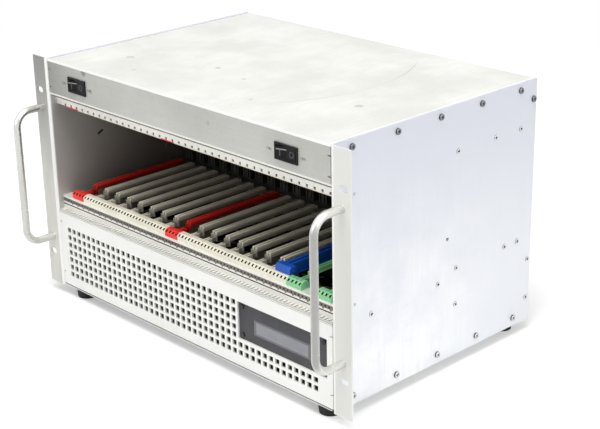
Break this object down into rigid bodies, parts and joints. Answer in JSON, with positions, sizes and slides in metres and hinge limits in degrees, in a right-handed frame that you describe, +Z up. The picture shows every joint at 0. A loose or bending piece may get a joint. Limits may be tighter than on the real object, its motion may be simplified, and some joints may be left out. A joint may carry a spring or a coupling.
{
  "type": "vme chassis",
  "caption": "Rack-mount card-cage enclosure with flanged sides, front handles, coloured card guides, a perforated fan bay, a display and two rocker switches.",
  "frame": {"origin": "under the middle of the whole part, level with the bottom of the feet", "axes": "+X across the front to the right as seen from the front, +Y to the back, +Z up"},
  "size_m": [0.4826, 0.3344, 0.2779],
  "materials": {
    "sheet": "satin",
    "front_sheet": "satin",
    "satin_aluminium": "satin",
    "zinc_steel": "satin",
    "dark_steel": "satin",
    "brass": "bright",
    "circuit_board": "matt",
    "display": "gloss",
    "grey_plastic": "matt",
    "connector_plastic": "matt",
    "rubber": "matt",
    "ivory_plastic": "matt",
    "red_plastic": "matt",
    "blue_plastic": "matt",
    "green_plastic": "matt",
    "black_plastic": "matt"
  },
  "bodies": {
    "enclosure": {"side_panel_left": "sheet", "side_panel_right": "sheet", "top_cover": "front_sheet", "base_plate": "sheet", "rear_panel": "sheet", "header_panel": "front_sheet", "lower_front_panel": "front_sheet", "display_bezel": "grey_plastic", "display_window": "display", "display_board": "circuit_board", "display_spacers": "brass", "display_screws": "dark_steel", "handle_left": "satin_aluminium", "handle_right": "satin_aluminium", "handle_screws": "zinc_steel", "front_rail_lower": "satin_aluminium", "front_rail_upper": "satin_aluminium", "rear_rail_lower": "satin_aluminium", "rear_rail_upper": "satin_aluminium", "threaded_strip_lower": "zinc_steel", "threaded_strip_upper": "zinc_steel", "rail_brackets": "zinc_steel", "switch_left_housing": "black_plastic", "switch_right_housing": "black_plastic", "switch_terminals": "brass", "lower_guides_left": "ivory_plastic", "lower_guides_right": "ivory_plastic", "lower_guides_red": "red_plastic", "lower_guide_blue": "blue_plastic", "lower_guides_green": "green_plastic", "upper_guides_ivory": "ivory_plastic", "upper_guides_red": "red_plastic", "backplane": "circuit_board", "backplane_connectors": "connector_plastic", "shelf_lower": "sheet", "shelf_upper": "sheet", "fan_tray": "sheet", "fan_left_frame": "black_plastic", "fan_middle_frame": "black_plastic", "fan_right_frame": "black_plastic", "power_supply": "zinc_steel", "mains_inlet": "black_plastic", "inlet_pins": "brass", "feet": "rubber", "foot_screws": "zinc_steel", "cover_screws": "dark_steel", "side_screws": "zinc_steel"},
    "left_rocker": {"switch_left_rocker": "black_plastic"},
    "right_rocker": {"switch_right_rocker": "black_plastic"},
    "left_rotor": {"fan_left_rotor": "black_plastic"},
    "middle_rotor": {"fan_middle_rotor": "black_plastic"},
    "right_rotor": {"fan_right_rotor": "black_plastic"}
  },
  "joints": [
    {"name": "left_switch", "type": "hinge", "parent": "enclosure", "child": "left_rocker", "pos_m": [-0.163, -0.1237, 0.2566], "axis": [0, 0, -1], "range_deg": [0, 18]},
    {"name": "right_switch", "type": "hinge", "parent": "enclosure", "child": "right_rocker", "pos_m": [0.1594, -0.1237, 0.2566], "axis": [0, 0, -1], "range_deg": [0, 18]},
    {"name": "left_fan", "type": "hinge", "parent": "enclosure", "child": "left_rotor", "pos_m": [-0.132, -0.0297, 0.0885], "axis": [0, 0, 1], "continuous": true},
    {"name": "middle_fan", "type": "hinge", "parent": "enclosure", "child": "middle_rotor", "pos_m": [0, -0.0297, 0.0885], "axis": [0, 0, 1], "continuous": true},
    {"name": "right_fan", "type": "hinge", "parent": "enclosure", "child": "right_rotor", "pos_m": [0.132, -0.0297, 0.0885], "axis": [0, 0, 1], "continuous": true}
  ]
}
